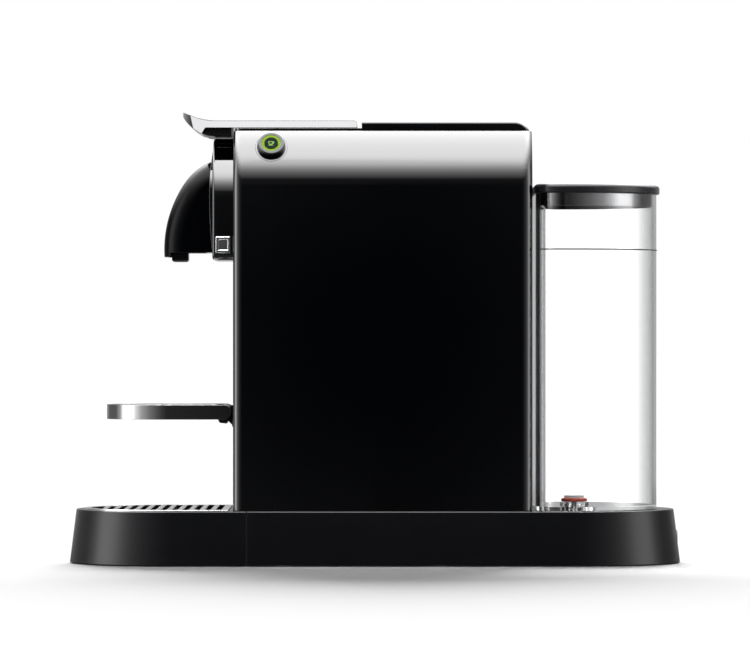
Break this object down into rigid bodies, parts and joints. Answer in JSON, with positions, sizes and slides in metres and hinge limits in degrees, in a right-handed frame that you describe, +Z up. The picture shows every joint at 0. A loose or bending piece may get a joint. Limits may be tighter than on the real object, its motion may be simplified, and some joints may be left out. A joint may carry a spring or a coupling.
{
  "type": "pod coffee machine",
  "caption": "Compact capsule espresso machine with an opening lever on top, a round fold-up cup support, a lift-off rear water tank and a pull-out drip unit.",
  "frame": {"origin": "middle of the footprint, on the surface the machine stands on", "axes": "+Z up, -Y towards the front with the spout and the lever's tip, +Y towards the water tank, X across the width"},
  "size_m": [0.13, 0.372, 0.2742],
  "materials": {
    "black_satin": "satin",
    "dark_plastic": "matte",
    "black_gloss": "high gloss",
    "button_black": "gloss",
    "lid_black": "satin",
    "chrome": "polished",
    "steel": "brushed",
    "cast_alloy": "cast",
    "rubber": "matte",
    "orange_rubber": "satin",
    "silicone": "satin",
    "white_plastic": "satin",
    "circuit_green": "satin",
    "green_light": "lit",
    "clear_plastic": "clear"
  },
  "bodies": {
    "machine": {"base_shell": "black_satin", "base_plate": "dark_plastic", "base_screws": "steel", "feet": "rubber", "cord_gland": "dark_plastic", "body_shell": "black_gloss", "front_panel": "black_gloss", "rear_panel": "dark_plastic", "top_cover": "black_gloss", "head_collar": "black_gloss", "collar_latches": "chrome", "spout_flange": "black_gloss", "spout_housing": "black_gloss", "coffee_nozzle": "black_satin", "brew_frame": "dark_plastic", "piercing_plate": "steel", "chassis": "dark_plastic", "thermoblock": "cast_alloy", "heater_element": "steel", "thermal_fuse": "steel", "pump_body": "white_plastic", "pump_coil": "steel", "pump_mounts": "rubber", "flow_meter": "white_plastic", "water_hoses": "silicone", "control_board": "circuit_green", "board_parts": "dark_plastic", "button_bezels": "chrome", "light_rings": "green_light", "button_boards": "circuit_green", "tank_dock": "dark_plastic", "dock_seal": "rubber"},
    "drip_unit": {"drip_base": "black_satin", "capsule_container": "black_satin", "drawer_front": "black_gloss", "cup_bracket": "black_satin"},
    "grid": {"drip_grid": "chrome"},
    "cup_support": {"cup_plate": "black_satin", "cup_rim": "chrome", "cup_grate": "steel", "cup_hinge_pin": "steel"},
    "lever": {"lever_shell": "chrome", "lever_core": "black_satin", "lever_cams": "dark_plastic", "lever_pin": "steel"},
    "cage": {"brew_cage": "dark_plastic", "cage_seal": "rubber", "cage_pins": "steel"},
    "button_right": {"button_right": "button_black"},
    "button_left": {"button_left": "button_black"},
    "tank": {"water_tank": "clear_plastic", "valve_seat": "clear_plastic", "valve_spring": "steel"},
    "valve": {"valve_disc": "orange_rubber", "valve_stem": "white_plastic"},
    "lid": {"tank_lid": "lid_black", "lid_band": "steel"},
    "piston": {"pump_piston": "steel"},
    "rotor": {"flow_rotor": "white_plastic"}
  },
  "joints": [
    {"name": "lever_hinge", "type": "hinge", "parent": "machine", "child": "lever", "pos_m": [0, -0.0215, 0.2605], "axis": [-1, 0, 0], "range_deg": [0, 90]},
    {"name": "cage_slide", "type": "slide", "parent": "machine", "child": "cage", "axis": [0, 1, 0], "range_m": [-0.0001, 0.0281]},
    {"name": "drip_unit_slide", "type": "slide", "parent": "machine", "child": "drip_unit", "axis": [0, -1, 0], "range_m": [0, 0.1]},
    {"name": "grid_lift", "type": "slide", "parent": "drip_unit", "child": "grid", "axis": [0, 0, 1], "range_m": [0, 0.04]},
    {"name": "cup_support_fold", "type": "hinge", "parent": "drip_unit", "child": "cup_support", "pos_m": [0, -0.0913, 0.09215], "axis": [-1, 0, 0], "range_deg": [0, 90]},
    {"name": "button_right_press", "type": "slide", "parent": "machine", "child": "button_right", "axis": [-0.848, 0, -0.5299], "range_m": [0, 0.0008], "stiffness_N_per_m": 150, "springref_m": -0.0015},
    {"name": "button_left_press", "type": "slide", "parent": "machine", "child": "button_left", "axis": [0.848, 0, -0.5299], "range_m": [0, 0.0008], "stiffness_N_per_m": 150, "springref_m": -0.0015},
    {"name": "tank_lift", "type": "slide", "parent": "machine", "child": "tank", "axis": [0, 0, 1], "range_m": [0, 0.25]},
    {"name": "lid_lift", "type": "slide", "parent": "tank", "child": "lid", "axis": [0, 0, 1], "range_m": [0, 0.03]},
    {"name": "valve_lift", "type": "slide", "parent": "tank", "child": "valve", "axis": [0, 0, 1], "range_m": [0, 0.003], "stiffness_N_per_m": 60, "springref_m": -0.003, "deforming": ["valve_spring"]},
    {"name": "pump_stroke", "type": "slide", "parent": "machine", "child": "piston", "axis": [0, 1, 0], "range_m": [-0.0015, 0.0015], "stiffness_N_per_m": 200},
    {"name": "flow_rotor_spin", "type": "hinge", "parent": "machine", "child": "rotor", "pos_m": [-0.033, 0.062, 0.118], "axis": [0, 0, 1], "continuous": true}
  ],
  "couplings": [
    {"joint": "cage_slide", "follows": "lever_hinge", "m_per_rad": 0.017825}
  ]
}
